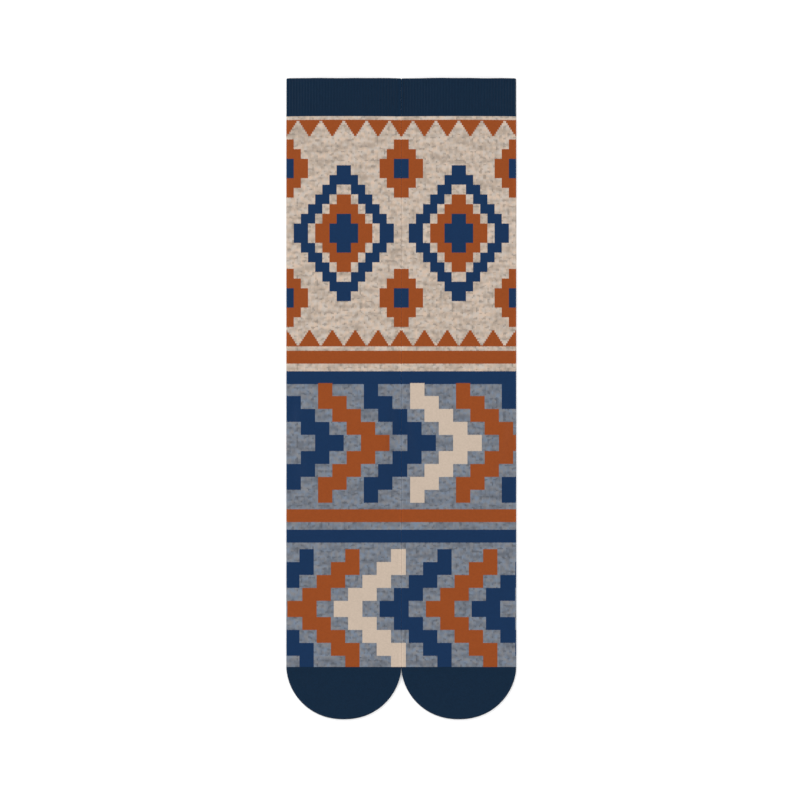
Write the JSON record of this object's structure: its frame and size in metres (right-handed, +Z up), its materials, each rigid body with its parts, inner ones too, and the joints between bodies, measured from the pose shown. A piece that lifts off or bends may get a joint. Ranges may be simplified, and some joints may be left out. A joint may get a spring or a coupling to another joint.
{
  "type": "pair of crew socks laid flat",
  "caption": "Pair of knitted crew socks laid flat side by side, instep up: open cuffs, folded-under heel pockets, patterned legs and feet, plain round toes.",
  "frame": {"origin": "on the surface that the socks lie on, under the middle of the pair", "axes": "+X across the pair to the right sock, +Y along the socks towards the cuffs, +Z up, out of the surface"},
  "size_m": [0.16, 0.4462, 0.0095],
  "materials": {
    "navy_knit": "plain dark navy knit, matt, finely ribbed on the cuff",
    "patterned_knit": "jacquard knit, matt: navy, rust and cream figures on oatmeal and blue-grey heather"
  },
  "bodies": {
    "root": {"left_cuff": "navy_knit", "left_leg_and_foot": "patterned_knit", "left_heel": "navy_knit", "left_toe": "navy_knit", "right_cuff": "navy_knit", "right_leg_and_foot": "patterned_knit", "right_heel": "navy_knit", "right_toe": "navy_knit"}
  },
  "joints": []
}
